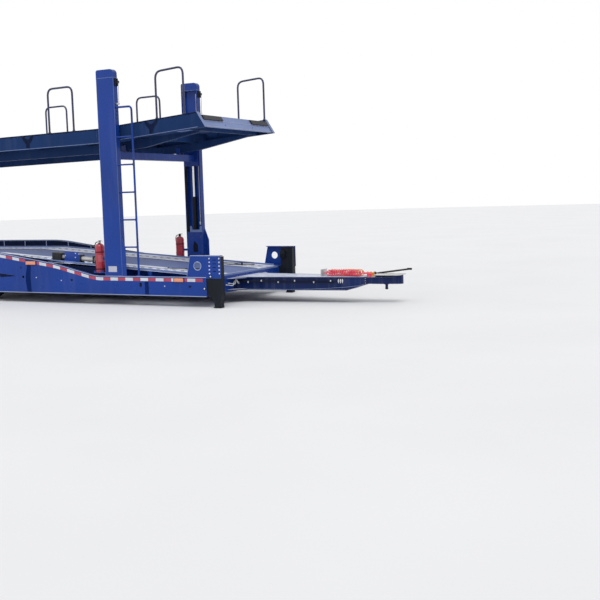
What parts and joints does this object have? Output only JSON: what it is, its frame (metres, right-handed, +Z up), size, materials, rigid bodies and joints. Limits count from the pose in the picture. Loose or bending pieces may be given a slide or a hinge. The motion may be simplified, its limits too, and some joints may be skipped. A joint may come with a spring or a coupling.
{
  "type": "car transporter drawbar trailer",
  "caption": "Two-deck car transporter drawbar trailer: side beams that climb over close-coupled axles, four posts carrying a lifting and tilting upper deck, and a towing eye.",
  "frame": {"origin": "middle of the box round the whole trailer, at the ground", "axes": "+X forwards along the trailer to the towing eye, +Y to its left, +Z up"},
  "size_m": [12.06, 2.55, 3.8],
  "materials": {
    "chassis_blue": "gloss",
    "deck_plate": "satin",
    "black_paint": "satin",
    "black_rubber": "matte",
    "tyre": "matte",
    "wheel_silver": "satin",
    "chrome_rod": "polished",
    "safety_red": "gloss",
    "lamp_red": "gloss",
    "zinc_steel": "satin",
    "hoop_steel": "satin",
    "hose_red": "gloss",
    "hose_yellow": "gloss",
    "cast_black": "satin"
  },
  "bodies": {
    "chassis": {"air_tanks": "black_paint", "axle_front": "cast_black", "axle_rear": "cast_black", "centre_plate": "chassis_blue", "coupling_lever": "black_paint", "drawbar": "chassis_blue", "drawbar_head": "chassis_blue", "fire_extinguishers": "safety_red", "front_crossbeam": "chassis_blue", "front_post_left": "chassis_blue", "front_post_right": "chassis_blue", "hose_bracket": "black_paint", "jack_brackets": "chassis_blue", "jacks": "black_paint", "ladder": "chassis_blue", "leaf_springs": "black_paint", "lift_cylinders": "black_paint", "loading_ramps": "zinc_steel", "lower_track_left": "deck_plate", "lower_track_right": "deck_plate", "main_beams": "chassis_blue", "main_frame": "chassis_blue", "post_pulleys": "black_paint", "ramp_carriers": "chassis_blue", "rear_bumper": "chassis_blue", "rear_crossbeam": "chassis_blue", "rear_post_left": "chassis_blue", "rear_post_right": "chassis_blue", "red_air_hose": "hose_red", "red_hose_coupling": "hose_red", "side_beam_left": "chassis_blue", "side_beam_right": "chassis_blue", "tail_lamps": "lamp_red", "winch": "zinc_steel", "yellow_air_hose": "hose_yellow", "yellow_hose_coupling": "hose_yellow"},
    "front_carriage": {"front_lift_beam": "chassis_blue", "front_lift_rods": "chrome_rod"},
    "rear_carriage": {"rear_lift_beam": "chassis_blue", "rear_lift_rods": "chrome_rod"},
    "upper_deck": {"upper_rail_left": "chassis_blue", "upper_rail_right": "chassis_blue", "upper_frame": "chassis_blue", "upper_long_beams": "chassis_blue", "upper_track_left": "deck_plate", "upper_track_right": "deck_plate", "upper_front_beam": "chassis_blue", "upper_rear_beam": "chassis_blue", "deck_buffers": "black_rubber", "guard_hoops_left": "hoop_steel", "guard_hoops_right": "hoop_steel"},
    "wheel_front_left": {"tyres_front_left": "tyre", "rim_front_left": "wheel_silver"},
    "wheel_front_right": {"tyres_front_right": "tyre", "rim_front_right": "wheel_silver"},
    "wheel_rear_left": {"tyres_rear_left": "tyre", "rim_rear_left": "wheel_silver"},
    "wheel_rear_right": {"tyres_rear_right": "tyre", "rim_rear_right": "wheel_silver"}
  },
  "joints": [
    {"name": "wheel_front_left_spin", "type": "hinge", "parent": "chassis", "child": "wheel_front_left", "pos_m": [-1.75, 1.007, 0.3835], "axis": [0, 1, 0], "continuous": true},
    {"name": "wheel_front_right_spin", "type": "hinge", "parent": "chassis", "child": "wheel_front_right", "pos_m": [-1.75, -1.007, 0.3835], "axis": [0, 1, 0], "continuous": true},
    {"name": "wheel_rear_left_spin", "type": "hinge", "parent": "chassis", "child": "wheel_rear_left", "pos_m": [-3.05, 1.007, 0.3835], "axis": [0, 1, 0], "continuous": true},
    {"name": "wheel_rear_right_spin", "type": "hinge", "parent": "chassis", "child": "wheel_rear_right", "pos_m": [-3.05, -1.007, 0.3835], "axis": [0, 1, 0], "continuous": true},
    {"name": "deck_lift", "type": "slide", "parent": "chassis", "child": "front_carriage", "axis": [0, 0, 1], "range_m": [-0.4, 0.15]},
    {"name": "deck_tilt", "type": "hinge", "parent": "front_carriage", "child": "upper_deck", "pos_m": [1.375, 0, 2.57583], "axis": [0, 1, 0], "range_deg": [-4, 1.5]},
    {"name": "rear_lift", "type": "slide", "parent": "front_carriage", "child": "rear_carriage", "axis": [0, 0, 1], "range_m": [-0.43, 0.16]}
  ],
  "couplings": [
    {"joint": "rear_lift", "follows": "deck_tilt", "m_per_rad": 6}
  ]
}
